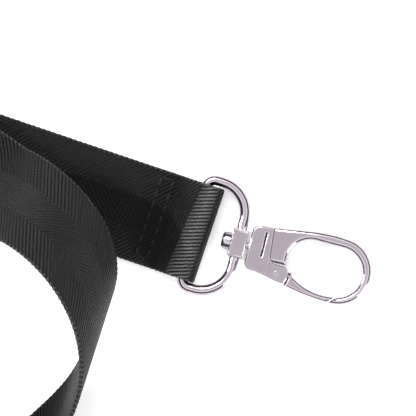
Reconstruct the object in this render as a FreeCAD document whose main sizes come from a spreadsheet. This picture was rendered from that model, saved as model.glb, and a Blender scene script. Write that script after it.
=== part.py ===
import FreeCAD, Part
import Sketcher
import math
import os

from FreeCAD import Placement, Rotation, Vector

# Strap of a no-pull dog harness: one length of flat webbing with a swivel snap hook sewn
# to each end and a leash ring running free in a fold of the strap.
#
# Frame: +Z up, the strap lies on the plane Z = 0. The origin is on the underside of the
# sewn end of hook A, in the middle of the sewn tail, and +X runs along the tail to hook A.

DIMENSIONS = {
    # webbing and its folds
    "WebWidth": 25.0,
    "WebThick": 1.2,
    "TailLength": 14.3,
    "LayerGap": 0.1,
    "WrapRadius": 2.8,
    "StitchLength": 2.0,
    "StitchWide": 0.6,
    "StitchTall": 0.35,
    "StitchPitch": 3.1,
    "StitchInset": 1.3,
    "StitchRowGap": 3.2,
    "StitchSideAt": 10.5,
    "StitchChamfer": 0.14,
    "StitchEachSide": 3,
    # wire bow of a hook
    "BowWire": 2.6,
    "BowReach": 11.7,
    "BowHalfSpan": 14.2,
    "BowNearRadius": 8.0,
    "BowFarRadius": 2.4,
    "BowSocket": 2.0,
    # swivel collar and rivet
    "CollarLong": 3.9,
    "CollarWide": 7.4,
    "CollarTall": 6.0,
    "CollarChamfer": 0.7,
    "RivetShank": 2.2,
    "RivetPlay": 0.1,
    "RivetHead": 4.4,
    "RivetHeadLong": 2.3,
    "RivetReach": 6.2,
    "RivetSeatGap": 0.05,
    "RivetDomeLong": 1.5,
    "RivetDomeMiddle": 0.5,
    "RivetDomeShare": 0.72,
    # cast hook body
    "HookStart": 2.8,
    "ArmThick": 3.4,
    "BlockThick": 5.6,
    "SlitDeep": 0.9,
    "GateSlotTall": 2.6,
    # gate, its pin and its spring
    "PinAlong": 11.3,
    "PinAcross": -5.0,
    "PinDiameter": 1.6,
    "PinPlay": 0.08,
    "GateThick": 3.2,
    "EarThick": 1.2,
    "EarGap": 0.05,
    "EarRadius": 1.9,
    "SpringWire": 0.36,
    "SpringRadius": 1.27,
    "SpringPitch": 0.45,
    "SpringTurns": 2.0,
    "SpringSides": 8,
    "SpringLeg": 1.7,
    "SpringLift": 0.2,
    # leash ring
    "RingWire": 4.0,
    "RingHalfSpan": 16.0,
    "RingCorner": 3.0,
    "RingWrapRadius": 2.9,
    # how the strap lies: distances along the strap in mm, angles in degrees
    "SlopeAngle": 40.0,
    "SlopeFlat": 1.2,
    "SlopeFoot": 3.0,
    "StepAngle": 6.0,
    "StepRadius": 28.0,
    "StepFlat": 8.9,
    "RunToRing": 41.5,
    "RingSkew": -7.9,
    "RingTurn": 172.4,
    "RiseRun": 15.7,
    "RiseSkew": 22.1,
    "RiseArc": 5.0,
    "RiseTurn": 45.0,
    "CurlRun": 16.94,
    "CurlSpan": 51.19,
    "CurlCrowd": 0.157,
    "CurlFirstSkew": -34.59,
    "CurlLastSkew": -43.01,
    "CurlSkewBulge": 12.73,
    "CurlFolds": 24,
    "CurlFoldArc": 0.33,
    "CurlFirstTurn": 5.12,
    "CurlLastTurn": 6.44,
    "LandingRadius": 6.0,
    "RunToEnd": 140.0,
    "HookYaw": 4.0,
    "WrapToCollar": 10.9,
    "RulingStep": 15.0,
}

# Outlines of the cast hook in its own plane, in mm from the centre of the swivel collar,
# with x along the swivel axis. Each is a start point, then lines (x, y) and arcs
# (x, y of a point on the way, x, y of the end).
ARM_OUTLINE = [
    (4.0, -5.7), (4.0, 5.7), (17.5, 7.8), (22.0, 8.25, 26.5, 8.15), (35.05, -0.4, 26.0, -8.94),
    (27.9, -6.92), (32.8, -0.7, 26.4, 5.7), (20.0, 5.75), (14.9, 4.0, 13.1, -0.8), (13.3, -2.77),
    (14.3, -5.0, 13.42, -7.12), (11.3, -6.9), (5.9, -5.8), (4.0, -5.7),
]
BLOCK_OUTLINE = [
    (2.8, -4.6), (2.8, 4.6), (3.9, 5.7), (8.1, 6.0), (8.8, -0.9), (9.5, -2.2, 10.9, -2.8),
    (13.3, -2.8), (14.3, -5.0, 13.42, -7.12), (11.3, -6.95), (5.9, -5.8), (3.9, -5.7), (2.8, -4.6),
]
SLOT_OUTLINE = [(8.9, -9.5), (8.9, -2.4), (15.0, -2.4), (15.0, -9.5), (8.9, -9.5)]
SLIT_OUTLINE = [(6.1, -1.9), (6.1, 4.6), (6.9, 4.6), (6.9, -1.9), (6.1, -1.9)]
GATE_OUTLINE = [
    (14.35, -3.89), (18.5, -6.35, 27.3, -7.05), (25.6, -8.85), (20.0, -8.5, 13.75, -7.4),
    (14.55, -5.1, 14.35, -3.89),
]
EAR_NECK_OUTLINE = [(11.3, -3.1), (14.7, -4.3), (14.3, -6.9), (11.3, -6.9), (11.3, -3.1)]


def make_sheet(doc):
    """The spreadsheet of driving dimensions, one alias to a row."""
    sheet = doc.addObject("Spreadsheet::Sheet", "Dimensions")
    for row, (alias, number) in enumerate(DIMENSIONS.items(), start=1):
        sheet.set(f"A{row}", alias)
        sheet.set(f"B{row}", str(number))
        sheet.setAlias(f"B{row}", alias)
    doc.recompute()
    return sheet


# ---------------------------------------------------------------- PartDesign helpers


def new_body(doc, name):
    body = doc.addObject("PartDesign::Body", name)
    body.Label = name
    return body


def new_sketch(body, name, role, lift=None):
    """A sketch on one of the body's own origin planes, lifted along that plane's normal."""
    plane = next(item for item in body.Origin.OriginFeatures if item.Role == role)
    sketch = body.newObject("Sketcher::SketchObject", name)
    sketch.AttachmentSupport = [(plane, "")]
    sketch.MapMode = "FlatFace"
    if lift:
        sketch.setExpression("AttachmentOffset.Base.z", lift)
    return sketch


def draw_outline(sketch, outline):
    """Lines and three-point arcs from one point of the outline to the next."""
    here = Vector(*outline[0])
    for step in outline[1:]:
        there = Vector(*step[-2:])
        if len(step) == 2:
            sketch.addGeometry(Part.LineSegment(here, there))
        else:
            sketch.addGeometry(Part.Arc(here, Vector(*step[:2]), there))
        here = there


def draw_circle(sketch, centre, diameter):
    """A circle whose diameter is bound to the sheet; centre is a pair of expressions or numbers."""
    index = sketch.addGeometry(Part.Circle(Vector(0, 0, 0), Vector(0, 0, 1), 1.0))
    rules = [
        Sketcher.Constraint("Diameter", index, 2.0),
        Sketcher.Constraint("DistanceX", -1, 1, index, 3, 1.0),
        Sketcher.Constraint("DistanceY", -1, 1, index, 3, 1.0),
    ]
    first = sketch.ConstraintCount
    sketch.addConstraint(rules)
    for offset, expression in enumerate((diameter, centre[0], centre[1])):
        sketch.setExpression(f"Constraints[{first + offset}]", expression)


def draw_rectangle(sketch, wide, tall):
    """A rectangle centred on the sketch origin, its sides bound to the sheet."""
    corners = [Vector(-1, -1), Vector(1, -1), Vector(1, 1), Vector(-1, 1)]
    for index in range(4):
        sketch.addGeometry(Part.LineSegment(corners[index], corners[(index + 1) % 4]))
    rules = [Sketcher.Constraint("Coincident", index, 2, (index + 1) % 4, 1) for index in range(4)]
    rules += [Sketcher.Constraint("Horizontal", index) for index in (0, 2)]
    rules += [Sketcher.Constraint("Vertical", index) for index in (1, 3)]
    rules.append(Sketcher.Constraint("Symmetric", 0, 1, 2, 1, -1, 1))
    rules.append(Sketcher.Constraint("DistanceX", 0, 1, 0, 2, 2.0))
    rules.append(Sketcher.Constraint("DistanceY", 1, 1, 1, 2, 2.0))
    sketch.addConstraint(rules)
    sketch.setExpression(f"Constraints[{len(rules) - 2}]", wide)
    sketch.setExpression(f"Constraints[{len(rules) - 1}]", tall)


def pad(body, sketch, name, length, symmetric=True):
    feature = body.newObject("PartDesign::Pad", name)
    feature.Profile = sketch
    feature.setExpression("Length", length)
    feature.SideType = "Symmetric" if symmetric else "One side"
    return feature


def pocket(body, sketch, name, length, symmetric=True, flipped=False):
    """Cut a sketch out of the body and make sure that it removed material."""
    body.Document.recompute()
    before = body.Shape.Volume
    feature = body.newObject("PartDesign::Pocket", name)
    feature.Profile = sketch
    feature.setExpression("Length", length)
    feature.SideType = "Symmetric" if symmetric else "One side"
    feature.Reversed = flipped
    body.Document.recompute()
    if body.Shape.Volume > before - 0.01:
        raise RuntimeError(f"{name} cuts nothing")
    return feature


def pipe(body, profile, spine, name):
    feature = body.newObject("PartDesign::AdditivePipe", name)
    feature.Profile = profile
    feature.Spine = spine
    return feature


# ---------------------------------------------------------------- the webbing strap


def bend(station, skew, radius, turn):
    """A bend of the strap: the station of its middle on the centreline, the skew of its
    rulings from square across, its radius, and its turn, positive towards the strap's face."""
    return {"station": station, "skew": math.radians(skew), "radius": radius, "turn": math.radians(turn)}


def half_length(item):
    """Half the length of a bend, measured along the centreline."""
    return item["radius"] * abs(item["turn"]) / 2 / math.cos(item["skew"])


def frame_in_bend(start, item, part):
    """The strap's frame after the given part of a bend, from its frame at the bend's start."""
    skew = item["skew"]
    angle = item["turn"] * part
    radius = math.copysign(item["radius"], item["turn"])
    across = Vector(math.sin(skew), math.cos(skew), 0)
    ahead = Vector(math.cos(skew), -math.sin(skew), 0)
    up = Vector(0, 0, 1)
    move = ahead * (radius * math.sin(angle)) + up * (radius * (1 - math.cos(angle)))
    move += across * (radius * angle * math.tan(skew))
    turned = Rotation(across * -1, math.degrees(angle))
    return start.multiply(Placement(move, turned))


def ahead_by(frame, distance):
    return frame.multiply(Placement(Vector(distance, 0, 0), Rotation()))


def sewn_end_bends(size):
    """The bends from the tail of a sewn end, round the bow and back over the tail."""
    thick = size["WebThick"]
    wrap = size["WrapRadius"]
    foot = size["SlopeFoot"]
    slope = math.radians(size["SlopeAngle"])
    step = math.radians(size["StepAngle"])
    level = thick + size["LayerGap"]
    station = size["TailLength"] + wrap * math.pi / 2
    bends = [bend(station, 0, wrap, 180)]
    station += wrap * math.pi / 2 + size["SlopeFlat"] + wrap * slope / 2
    bends.append(bend(station, 0, wrap, size["SlopeAngle"]))
    drop = 2 * wrap - level - (wrap + foot) * (1 - math.cos(slope))
    station += (wrap + foot) * slope / 2 + drop / math.sin(slope)
    bends.append(bend(station, 0, foot, -size["SlopeAngle"]))
    station += foot * slope / 2 + size["StepFlat"]
    bends.append(bend(station, 0, size["StepRadius"], size["StepAngle"]))
    station += level / math.sin(step)
    bends.append(bend(station, 0, size["StepRadius"], -size["StepAngle"]))
    return bends


def curl_bends(size, first_station):
    """The folds of the curl: their rulings fan out from the strap's upper edge."""
    bends = []
    count = int(size["CurlFolds"])
    for index in range(count):
        share = index / (count - 1)
        arch = share * (1 - share)
        skew = size["CurlFirstSkew"] + (size["CurlLastSkew"] - size["CurlFirstSkew"]) * share
        skew += 4 * size["CurlSkewBulge"] * arch
        station = first_station + size["CurlSpan"] * (share - size["CurlCrowd"] * arch)
        turn = size["CurlFirstTurn"] + (size["CurlLastTurn"] - size["CurlFirstTurn"]) * share
        bends.append(bend(station, skew, size["CurlFoldArc"] / math.radians(turn), -turn))
    return bends


def landing_bend(size, station, frame):
    """The bend that lays the strap flat on the ground, from its frame after the curl."""
    face = frame.Rotation.multVec(Vector(0, 0, 1))
    level_line = face.cross(Vector(0, 0, 1)).normalize()
    along = frame.Rotation.multVec(Vector(1, 0, 0))
    across = frame.Rotation.multVec(Vector(0, 1, 0))
    if level_line.dot(across) < 0:
        level_line = level_line * -1
    skew = math.atan2(level_line.dot(along), level_line.dot(across))
    downhill = along * math.cos(skew) - across * math.sin(skew)
    turn = math.acos(-face.z)
    radius = size["LandingRadius"]
    start_height = size["WebThick"] / 2 + radius * (1 - math.cos(turn))
    slide = (frame.Base.z - start_height) / -downhill.z
    middle = station + (slide + radius * turn / 2) / math.cos(skew)
    return bend(middle, math.degrees(skew), radius, -math.degrees(turn))


def follow(start, station, bends):
    """Frames at the start of each bend and, last, the frame and station after them all."""
    frames = []
    frame = start
    for item in bends:
        frame = ahead_by(frame, item["station"] - half_length(item) - station)
        frames.append(frame)
        frame = frame_in_bend(frame, item, 1.0)
        station = item["station"] + half_length(item)
    return frames, frame, station


def strap_route(size):
    """All the bends of the strap, its frames, and the places of what it carries."""
    thick = size["WebThick"]
    start = Placement(Vector(-size["TailLength"] / 2, 0, thick / 2), Rotation())
    bends = sewn_end_bends(size)
    ring_station = bends[-1]["station"] + size["RunToRing"]
    ring = bend(ring_station, size["RingSkew"], size["RingWrapRadius"], -size["RingTurn"])
    rise_radius = size["RiseArc"] / math.radians(size["RiseTurn"])
    rise_station = ring_station + size["RiseRun"]
    rise = bend(rise_station, size["RiseSkew"], rise_radius, size["RiseTurn"])
    ring_index = len(bends)
    bends += [ring, rise] + curl_bends(size, rise_station + size["CurlRun"])
    _, frame, station = follow(start, 0.0, bends)
    bends.append(landing_bend(size, station, frame))
    end_bends = sewn_end_bends(size)
    landed = bends[-1]["station"] + half_length(bends[-1])
    length = landed + size["RunToEnd"] + end_bends[-1]["station"]
    for item in reversed(end_bends):
        bends.append(dict(item, station=length - item["station"]))
    frames, frame, station = follow(start, 0.0, bends)
    tail_end = ahead_by(frame, length - station)
    return {
        "start": start,
        "bends": bends,
        "frames": frames,
        "tail_end": tail_end,
        "ring": (frames[ring_index], ring),
        "length": length,
    }


def rulings(route, step_angle):
    """Cross lines of the strap, as frame and skew, from one tail to the other."""
    lines = [(route["start"], 0.0)]
    for frame, item in zip(route["frames"], route["bends"]):
        steps = max(1, round(math.degrees(abs(item["turn"])) / step_angle))
        for step in range(steps + 1):
            lines.append((frame_in_bend(frame, item, step / steps), item["skew"]))
    lines.append((route["tail_end"], 0.0))
    return lines


def strap_solid(size, route):
    """Flat webbing bent along its rulings: flat facets between cross lines."""
    half_wide = size["WebWidth"] / 2
    half_thick = size["WebThick"] / 2
    sections = []
    for frame, skew in rulings(route, size["RulingStep"]):
        corners = []
        for side, lift in ((-1, -1), (1, -1), (1, 1), (-1, 1)):
            across = side * half_wide
            corners.append(frame.multVec(Vector(across * math.tan(skew), across, lift * half_thick)))
        sections.append(corners)
    faces = [polygon_face(sections[0]), polygon_face(sections[-1])]
    for near, far in zip(sections, sections[1:]):
        faces.append(polygon_face([near[0], near[1], far[1], far[0]]))
        faces.append(polygon_face([near[2], near[3], far[3], far[2]]))
        for first, second in ((1, 2), (3, 0)):
            faces.append(polygon_face([near[first], near[second], far[second]]))
            faces.append(polygon_face([near[first], far[second], far[first]]))
    shell = Part.makeShell(faces)
    shell.sewShape()
    solid = Part.Solid(shell)
    if solid.Volume < 0:
        solid.reverse()
    return solid


def polygon_face(points):
    return Part.Face(Part.makePolygon(points + points[:1]))


def add_shape(doc, name, shape, placement):
    feature = doc.addObject("Part::Feature", name)
    feature.Label = name
    feature.Shape = shape
    feature.Placement = placement
    return feature


def add_stitching(doc, size, end, place):
    """Two rows of stitches across the sewn end and one stitch at each side between them."""
    each_side = round(size["StitchEachSide"])
    top = 2 * size["WebThick"] + size["LayerGap"]
    pitch = size["StitchPitch"]
    first_row = size["StitchInset"] - size["TailLength"] / 2
    rows = (first_row, first_row + size["StitchRowGap"])
    middle = sum(rows) / 2
    stitches = []
    for row in rows:
        for index in range(-each_side, each_side + 1):
            stitches.append(stitch(size, Vector(row, index * pitch, top), across=True))
    for side in (-1, 1):
        edge = side * size["StitchSideAt"]
        stitches.append(stitch(size, Vector(middle, edge, top), across=False))
    return add_shape(doc, f"stitching_{end}", Part.makeCompound(stitches), place)


def stitch(size, centre, across):
    """One raised thread stitch, a bar with a chamfered top."""
    long = size["StitchLength"]
    wide = size["StitchWide"]
    bar = Part.makeBox(long, wide, size["StitchTall"], Vector(-long / 2, -wide / 2, 0))
    tops = [edge for edge in bar.Edges if edge.BoundBox.ZMin > size["StitchTall"] - 1e-6]
    bar = bar.makeChamfer(size["StitchChamfer"], tops)
    if across:
        bar.rotate(Vector(0, 0, 0), Vector(0, 0, 1), 90)
    bar.translate(centre)
    return bar


# ---------------------------------------------------------------- the swivel snap hook


def add_bow(doc, end, place):
    """The wire bow, one bent rod whose two ends go into the sides of the collar."""
    body = new_body(doc, f"bow_{end}")
    spine = new_sketch(body, f"bow_path_{end}", "XY_Plane")
    size = DIMENSIONS
    reach = size["BowReach"]
    half = size["BowHalfSpan"]
    near = size["BowNearRadius"]
    far = size["BowFarRadius"]
    near_bulge = near * (1 - math.sqrt(0.5))
    far_bulge = far * (1 - math.sqrt(0.5))
    draw_outline(spine, [
        (0, size["BowSocket"]), (0, half - near), (-near_bulge, half - near_bulge, -near, half),
        (far - reach, half), (far_bulge - reach, half - far_bulge, -reach, half - far),
        (-reach, far - half), (far_bulge - reach, far_bulge - half, far - reach, -half),
        (-near, -half), (-near_bulge, near_bulge - half, 0, near - half), (0, -size["BowSocket"]),
    ])
    section = new_sketch(body, f"bow_section_{end}", "XZ_Plane", "-Dimensions.BowSocket")
    draw_circle(section, ("0", "0"), "Dimensions.BowWire")
    doc.recompute()
    pipe(body, section, spine, f"bow_wire_{end}")
    body.Placement = place
    return body


def add_collar(doc, end, place):
    """The square swivel collar: a block bored along the swivel axis, with a socket on each
    side for an end of the bow."""
    body = new_body(doc, f"swivel_collar_{end}")
    outline = new_sketch(body, f"collar_outline_{end}", "YZ_Plane")
    draw_rectangle(outline, "Dimensions.CollarWide", "Dimensions.CollarTall")
    pad(body, outline, f"collar_block_{end}", "Dimensions.CollarLong")
    doc.recompute()
    chamfer = body.newObject("PartDesign::Chamfer", f"collar_chamfer_{end}")
    block = body.getObject(f"collar_block_{end}")
    edges = [f"Edge{i}" for i, edge in enumerate(block.Shape.Edges, start=1) if edge.BoundBox.XLength > 1]
    chamfer.Base = (block, edges)
    chamfer.setExpression("Size", "Dimensions.CollarChamfer")
    bore = new_sketch(body, f"collar_bore_{end}", "YZ_Plane")
    draw_circle(bore, ("0", "0"), "Dimensions.RivetShank + Dimensions.RivetPlay")
    pocket(body, bore, f"collar_bore_cut_{end}", "Dimensions.CollarLong * 2")
    for side, lift in (("left", "-Dimensions.BowSocket"), ("right", "Dimensions.BowSocket")):
        socket = new_sketch(body, f"collar_socket_{side}_{end}", "XZ_Plane", lift)
        draw_circle(socket, ("0", "0"), "Dimensions.BowWire")
        pocket(
            body, socket, f"collar_socket_cut_{side}_{end}", "Dimensions.CollarWide",
            symmetric=False, flipped=side == "right",
        )
    body.Placement = place
    return body


def add_rivet(doc, end, place):
    """The swivel rivet: a domed head inside the bow and a shank pressed into the hook."""
    body = new_body(doc, f"swivel_rivet_{end}")
    size = DIMENSIONS
    seat = -size["CollarLong"] / 2 - size["RivetSeatGap"]
    head = seat - size["RivetHeadLong"]
    head_radius = size["RivetHead"] / 2
    shank = size["RivetShank"] / 2
    dome_middle = (head + size["RivetDomeMiddle"], head_radius * size["RivetDomeShare"])
    dome_end = (head + size["RivetDomeLong"], head_radius)
    profile = new_sketch(body, f"rivet_profile_{end}", "XY_Plane")
    draw_outline(profile, [
        (head, 0), dome_middle + dome_end, (seat, head_radius),
        (seat, shank), (size["RivetReach"], shank), (size["RivetReach"], 0), (head, 0),
    ])
    feature = body.newObject("PartDesign::Revolution", f"rivet_turning_{end}")
    feature.Profile = profile
    feature.ReferenceAxis = (profile, ["H_Axis"])
    feature.Angle = 360
    body.Placement = place
    return body


def add_hook_body(doc, end, place):
    """The cast hook: a flat block behind, a thinner curved arm, and a fork for the gate."""
    body = new_body(doc, f"hook_body_{end}")
    arm = new_sketch(body, f"hook_arm_outline_{end}", "XY_Plane")
    draw_outline(arm, ARM_OUTLINE)
    pad(body, arm, f"hook_arm_{end}", "Dimensions.ArmThick")
    block = new_sketch(body, f"hook_block_outline_{end}", "XY_Plane")
    draw_outline(block, BLOCK_OUTLINE)
    pad(body, block, f"hook_block_{end}", "Dimensions.BlockThick")
    for side, lift in (("top", "Dimensions.BlockThick / 2"), ("bottom", "-Dimensions.BlockThick / 2")):
        slit = new_sketch(body, f"hook_slit_outline_{side}_{end}", "XY_Plane", lift)
        draw_outline(slit, SLIT_OUTLINE)
        pocket(
            body, slit, f"hook_slit_{side}_{end}", "Dimensions.SlitDeep",
            symmetric=False, flipped=side == "bottom",
        )
    slot = new_sketch(body, f"gate_slot_outline_{end}", "XY_Plane")
    draw_outline(slot, SLOT_OUTLINE)
    pocket(body, slot, f"gate_slot_{end}", "Dimensions.GateSlotTall")
    bore = new_sketch(body, f"rivet_bore_outline_{end}", "YZ_Plane", "Dimensions.HookStart - 1")
    draw_circle(bore, ("0", "0"), "Dimensions.RivetShank")
    bore_depth = "Dimensions.RivetReach - Dimensions.HookStart + 1"
    pocket(body, bore, f"rivet_bore_{end}", bore_depth, symmetric=False, flipped=True)
    pin_bore = new_sketch(body, f"pin_bore_outline_{end}", "XY_Plane")
    draw_circle(pin_bore, ("Dimensions.PinAlong", "Dimensions.PinAcross"), "Dimensions.PinDiameter")
    pocket(body, pin_bore, f"pin_bore_{end}", "Dimensions.BlockThick * 2")
    body.Placement = place
    return body


def add_gate(doc, end, place):
    """The push gate: a bar that closes the hook and an ear that turns on the pin."""
    body = new_body(doc, f"gate_{end}")
    outline = new_sketch(body, f"gate_outline_{end}", "XY_Plane")
    draw_outline(outline, GATE_OUTLINE)
    pad(body, outline, f"gate_bar_{end}", "Dimensions.GateThick")
    ear_base = "-Dimensions.GateSlotTall / 2 + Dimensions.EarGap"
    neck = new_sketch(body, f"gate_neck_outline_{end}", "XY_Plane", ear_base)
    draw_outline(neck, EAR_NECK_OUTLINE)
    pad(body, neck, f"gate_neck_{end}", "Dimensions.EarThick", symmetric=False)
    ear = new_sketch(body, f"gate_ear_outline_{end}", "XY_Plane", ear_base)
    draw_circle(ear, ("Dimensions.PinAlong", "Dimensions.PinAcross"), "Dimensions.EarRadius * 2")
    pad(body, ear, f"gate_ear_{end}", "Dimensions.EarThick", symmetric=False)
    bore = new_sketch(body, f"gate_bore_outline_{end}", "XY_Plane")
    draw_circle(
        bore, ("Dimensions.PinAlong", "Dimensions.PinAcross"),
        "Dimensions.PinDiameter + Dimensions.PinPlay",
    )
    pocket(body, bore, f"gate_bore_{end}", "Dimensions.BlockThick")
    body.Placement = place
    return body


def add_pin(doc, end, place):
    """The gate pin, held in both cheeks of the fork."""
    pin = doc.addObject("Part::Cylinder", f"gate_pin_{end}")
    pin.Label = f"gate_pin_{end}"
    pin.setExpression("Radius", "Dimensions.PinDiameter / 2")
    pin.setExpression("Height", "Dimensions.BlockThick")
    size = DIMENSIONS
    centre = Vector(size["PinAlong"], size["PinAcross"], -size["BlockThick"] / 2)
    pin.Placement = place.multiply(Placement(centre, Rotation()))
    return pin


def add_spring(doc, end, place):
    """The gate spring: a small coil round the pin, its legs against the gate and the block.
    Its wire follows a smooth curve through the corners of a polygon drawn round the coil."""
    size = DIMENSIONS
    wire = size["SpringWire"] / 2
    radius = size["SpringRadius"]
    leg = size["SpringLeg"]
    sides = size["SpringSides"]
    corner_radius = radius / math.cos(math.pi / sides)
    corners = [Vector(radius, -leg, 0)]
    for index in range(int(size["SpringTurns"] * sides) + 1):
        angle = 2 * math.pi * index / sides
        lift = size["SpringPitch"] * index / sides
        corners.append(Vector(corner_radius * math.cos(angle), corner_radius * math.sin(angle), lift))
    corners.append(Vector(radius, leg, corners[-1].z))
    curve = Part.BSplineCurve()
    curve.buildFromPoles(corners, False, 3)
    section = Part.Wire(Part.makeCircle(wire, corners[0], Vector(0, 1, 0)))
    spring = Part.Wire(curve.toShape()).makePipeShell([section], True, True)
    base = Vector(size["PinAlong"], size["PinAcross"], size["SpringLift"])
    return add_shape(doc, f"gate_spring_{end}", spring, place.multiply(Placement(base, Rotation())))


def add_hook(doc, end, place):
    add_bow(doc, end, place)
    add_collar(doc, end, place)
    add_rivet(doc, end, place)
    add_hook_body(doc, end, place)
    add_gate(doc, end, place)
    add_pin(doc, end, place)
    add_spring(doc, end, place)


# ---------------------------------------------------------------- the leash ring


def ring_placement(size, route):
    """The ring's bar lies in the fold of the strap; its far end rests on the ground."""
    frame, item = route["ring"]
    middle = frame_in_bend(frame, item, 0.5)
    skew = item["skew"]
    bar = middle.multVec(Vector(0, 0, -item["radius"]))
    away = frame.Rotation.multVec(Vector(math.cos(skew), -math.sin(skew), 0))
    bar_line = Vector(0, 0, 1).cross(away)
    turned = Rotation(away, bar_line, Vector(0, 0, 1), "XYZ")
    drop = bar.z - size["RingWire"] / 2
    reach = size["RingCorner"] + size["RingHalfSpan"]
    tilt = Rotation(Vector(0, 1, 0), math.degrees(math.asin(drop / reach)))
    return Placement(bar, turned.multiply(tilt))


def add_leash_ring(doc, place):
    """A D-ring of round wire: a straight bar, two tight corners and a half circle."""
    body = new_body(doc, "leash_ring")
    size = DIMENSIONS
    corner = size["RingCorner"]
    half = size["RingHalfSpan"]
    bulge = corner * (1 - math.sqrt(0.5))
    path = new_sketch(body, "ring_path", "XY_Plane")
    draw_outline(path, [
        (0, 0), (0, half - corner), (bulge, half - bulge, corner, half),
        (corner + half, 0, corner, -half), (bulge, bulge - half, 0, corner - half), (0, 0),
    ])
    section = new_sketch(body, "ring_section", "XZ_Plane")
    draw_circle(section, ("0", "0"), "Dimensions.RingWire")
    doc.recompute()
    pipe(body, section, path, "ring_wire")
    body.Placement = place
    return body


# ---------------------------------------------------------------- the whole part


def hook_placement(size, end_place):
    """From the sewn end's frame to the centre of the swivel collar."""
    yaw = Rotation(Vector(0, 0, 1), size["HookYaw"])
    wrap_centre = Vector(size["TailLength"] / 2, 0, size["WebThick"] / 2 + size["WrapRadius"])
    offset = yaw.multVec(Vector(size["WrapToCollar"], 0, 0))
    return end_place.multiply(Placement(wrap_centre + offset, yaw))


def far_end_placement(size, route):
    """The frame of the second sewn end, laid out as the row's own frame is at the first."""
    tail = route["tail_end"]
    along = tail.Rotation.multVec(Vector(-1, 0, 0))
    up = Vector(0, 0, 1)
    turned = Rotation(along, up.cross(along), up, "XYZ")
    base = tail.Base + along * (size["TailLength"] / 2) - up * (size["WebThick"] / 2)
    return Placement(base, turned)


def end_placements(size, route):
    return {"a": Placement(), "b": far_end_placement(size, route)}


def check_document(doc):
    """Every object has to be up to date, and every sub-part a valid solid."""
    nodes = []
    for item in doc.Objects:
        if "Invalid" in item.State or "Error" in item.State:
            raise RuntimeError(f"{item.Name} failed: {item.State}")
        is_body = item.TypeId == "PartDesign::Body"
        is_piece = item.TypeId in ("Part::Feature", "Part::Cylinder")
        if is_body or is_piece:
            nodes.append(item)
    for item in nodes:
        if item.Shape.isNull() or not item.Shape.isValid() or not item.Shape.Solids:
            raise RuntimeError(f"{item.Label} is not a valid solid")
    return nodes


def main():
    doc = FreeCAD.newDocument("no_pull_harness_strap")
    sheet = make_sheet(doc)
    size = {alias: float(sheet.get(alias)) for alias in DIMENSIONS}
    route = strap_route(size)
    add_shape(doc, "webbing_strap", strap_solid(size, route), Placement())
    for end, end_place in end_placements(size, route).items():
        add_stitching(doc, size, end, end_place)
        add_hook(doc, end, hook_placement(size, end_place))
    add_leash_ring(doc, ring_placement(size, route))
    doc.recompute()
    os.makedirs("parts", exist_ok=True)
    for item in check_document(doc):
        item.Shape.exportStep(os.path.join("parts", f"{item.Label}.step"))
        print(f"{item.Label}: {item.Shape.Volume:.1f} mm3, {len(item.Shape.Solids)} solid(s)")
    print(f"strap length {route['length']:.1f} mm")


main()
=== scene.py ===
import math

import bpy
import numpy as np
from mathutils import Matrix, Vector


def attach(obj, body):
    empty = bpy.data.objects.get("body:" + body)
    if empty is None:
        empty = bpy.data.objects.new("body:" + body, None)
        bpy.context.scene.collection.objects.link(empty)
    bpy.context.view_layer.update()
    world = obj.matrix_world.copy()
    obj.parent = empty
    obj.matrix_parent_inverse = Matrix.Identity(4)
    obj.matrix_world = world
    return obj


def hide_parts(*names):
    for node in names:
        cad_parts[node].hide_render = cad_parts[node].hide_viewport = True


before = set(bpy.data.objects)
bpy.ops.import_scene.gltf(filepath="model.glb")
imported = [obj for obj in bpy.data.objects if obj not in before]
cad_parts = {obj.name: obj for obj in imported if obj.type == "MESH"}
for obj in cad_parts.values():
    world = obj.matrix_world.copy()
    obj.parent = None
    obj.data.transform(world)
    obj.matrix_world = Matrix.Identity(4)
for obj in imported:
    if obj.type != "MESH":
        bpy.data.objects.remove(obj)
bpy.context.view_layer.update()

# A webbing strap with a swivel snap hook sewn to each end and a leash ring in a fold.
# Lengths below are in millimetres, as in the CAD model, and are scaled to metres in MM.

MM = 0.001
scene = bpy.context.scene

# ------------------------------------------------------------------ sizes of the CAD model

WEB_WIDTH = 25.0
WEB_THICK = 1.2
TAIL_LENGTH = 14.3
LAYER_GAP = 0.1
WRAP_RADIUS = 2.8
SLOPE_ANGLE = 40.0
SLOPE_FLAT = 1.2
SLOPE_FOOT = 3.0
STEP_ANGLE = 6.0
STEP_RADIUS = 28.0
STEP_FLAT = 8.9
RUN_TO_RING = 41.5
RING_SKEW = -7.9
RING_TURN = 172.4
RING_WRAP_RADIUS = 2.9
RISE_RUN = 15.7
RISE_SKEW = 22.1
RISE_ARC = 5.0
RISE_TURN = 45.0
CURL_RUN = 16.94
CURL_SPAN = 51.19
CURL_CROWD = 0.157
CURL_FIRST_SKEW = -34.59
CURL_LAST_SKEW = -43.01
CURL_SKEW_BULGE = 12.73
CURL_FOLDS = 24
CURL_FOLD_ARC = 0.33
CURL_FIRST_TURN = 5.12
CURL_LAST_TURN = 6.44
LANDING_RADIUS = 6.0
RUN_TO_END = 140.0
HOOK_YAW = 4.0
WRAP_TO_COLLAR = 10.9

STITCH_LENGTH = 2.0
STITCH_PITCH = 3.1
STITCH_INSET = 1.3
STITCH_ROW_GAP = 3.2
STITCH_SIDE_AT = 10.5
STITCHES_EACH_SIDE = 3

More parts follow.
